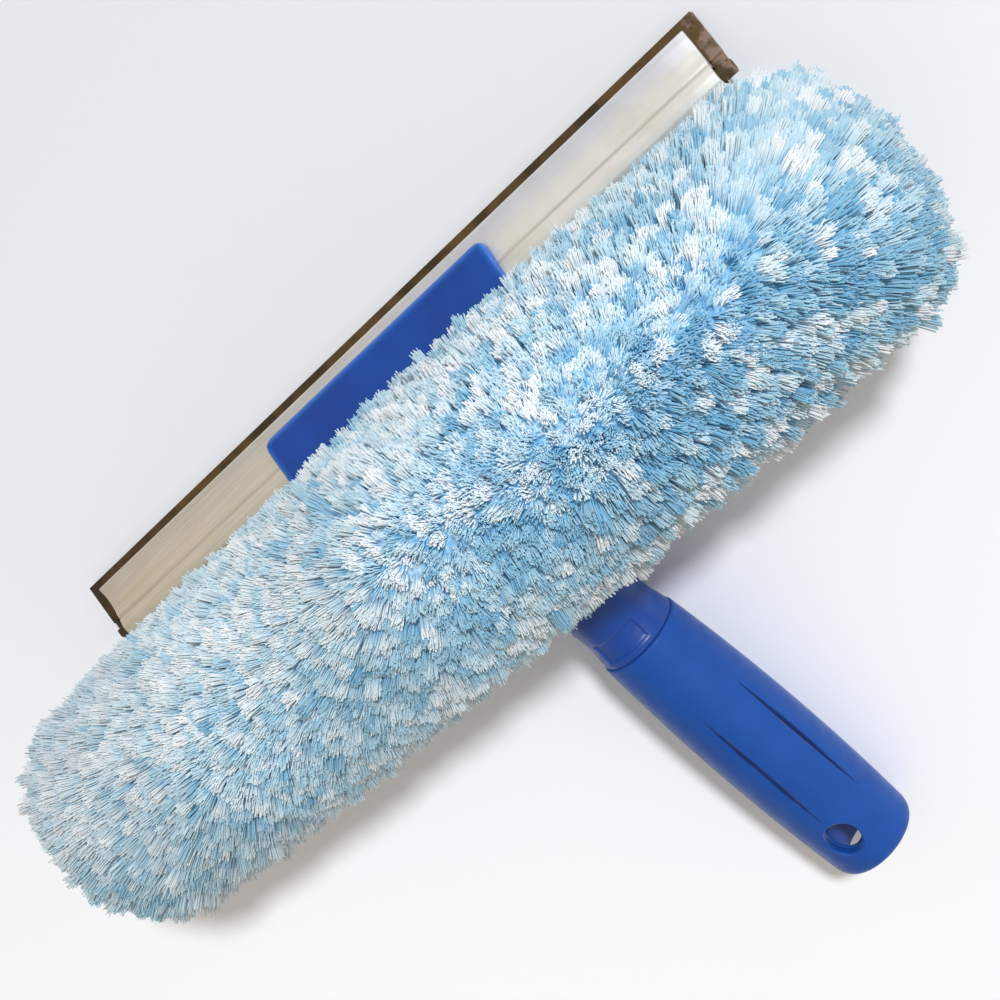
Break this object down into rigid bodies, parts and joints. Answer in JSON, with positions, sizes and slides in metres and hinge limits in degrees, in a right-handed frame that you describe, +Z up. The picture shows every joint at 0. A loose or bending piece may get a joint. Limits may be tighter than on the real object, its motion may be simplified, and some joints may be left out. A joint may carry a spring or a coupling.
{
  "type": "window cleaning squeegee",
  "caption": "Combined window cleaner: rubber squeegee in a metal channel, microfibre washing sleeve on a T-bar above it, soft-grip handle with a pole socket.",
  "frame": {"origin": "on the surface the tool lies on, under the middle of its bounding box", "axes": "+X along the blade and the sleeve, +Y from the handle's end towards the blade's lip, +Z up, with the tool resting on its lip and the heel of its grip"},
  "size_m": [0.306, 0.2122, 0.0935],
  "materials": {
    "soft_grip": "soft matte overmould",
    "hard_plastic": "satin moulded",
    "channel_metal": "satin, extruded",
    "blade_rubber": "dull, worn at the ends",
    "tbar_plastic": "matte moulded",
    "fastener_steel": "zinc plated",
    "backing_cloth": "knitted backing",
    "pile_fibre": "tufted microfibre, light blue and white",
    "closure_tape": "hook and loop tape"
  },
  "bodies": {
    "tool_body": {"grip_cover": "soft_grip", "handle_core": "hard_plastic", "neck_pin": "fastener_steel", "head_yoke": "hard_plastic", "lower_jaw": "hard_plastic", "tbar_body": "tbar_plastic", "sleeve_backing": "backing_cloth", "sleeve_pile": "pile_fibre", "jaw_screw_left": "fastener_steel", "jaw_screw_right": "fastener_steel", "jaw_nut_left": "fastener_steel", "jaw_nut_right": "fastener_steel", "tbar_screw_left": "fastener_steel", "tbar_screw_right": "fastener_steel", "tbar_nut_left": "fastener_steel", "tbar_nut_right": "fastener_steel", "tbar_end_cap_left": "tbar_plastic", "tbar_end_cap_right": "tbar_plastic", "hook_tape_left": "closure_tape", "hook_tape_right": "closure_tape", "loop_tape_left": "closure_tape", "loop_tape_right": "closure_tape", "closure_flap_left": "backing_cloth", "closure_flap_right": "backing_cloth"},
    "channel": {"squeegee_channel": "channel_metal"},
    "rubber": {"rubber_blade": "blade_rubber"}
  },
  "joints": [
    {"name": "channel_slide", "type": "slide", "parent": "tool_body", "child": "channel", "axis": [1, 0, 0], "range_m": [-0.07, 0.07]},
    {"name": "rubber_slide", "type": "slide", "parent": "channel", "child": "rubber", "axis": [1, 0, 0], "range_m": [-0.2, 0.2]}
  ]
}
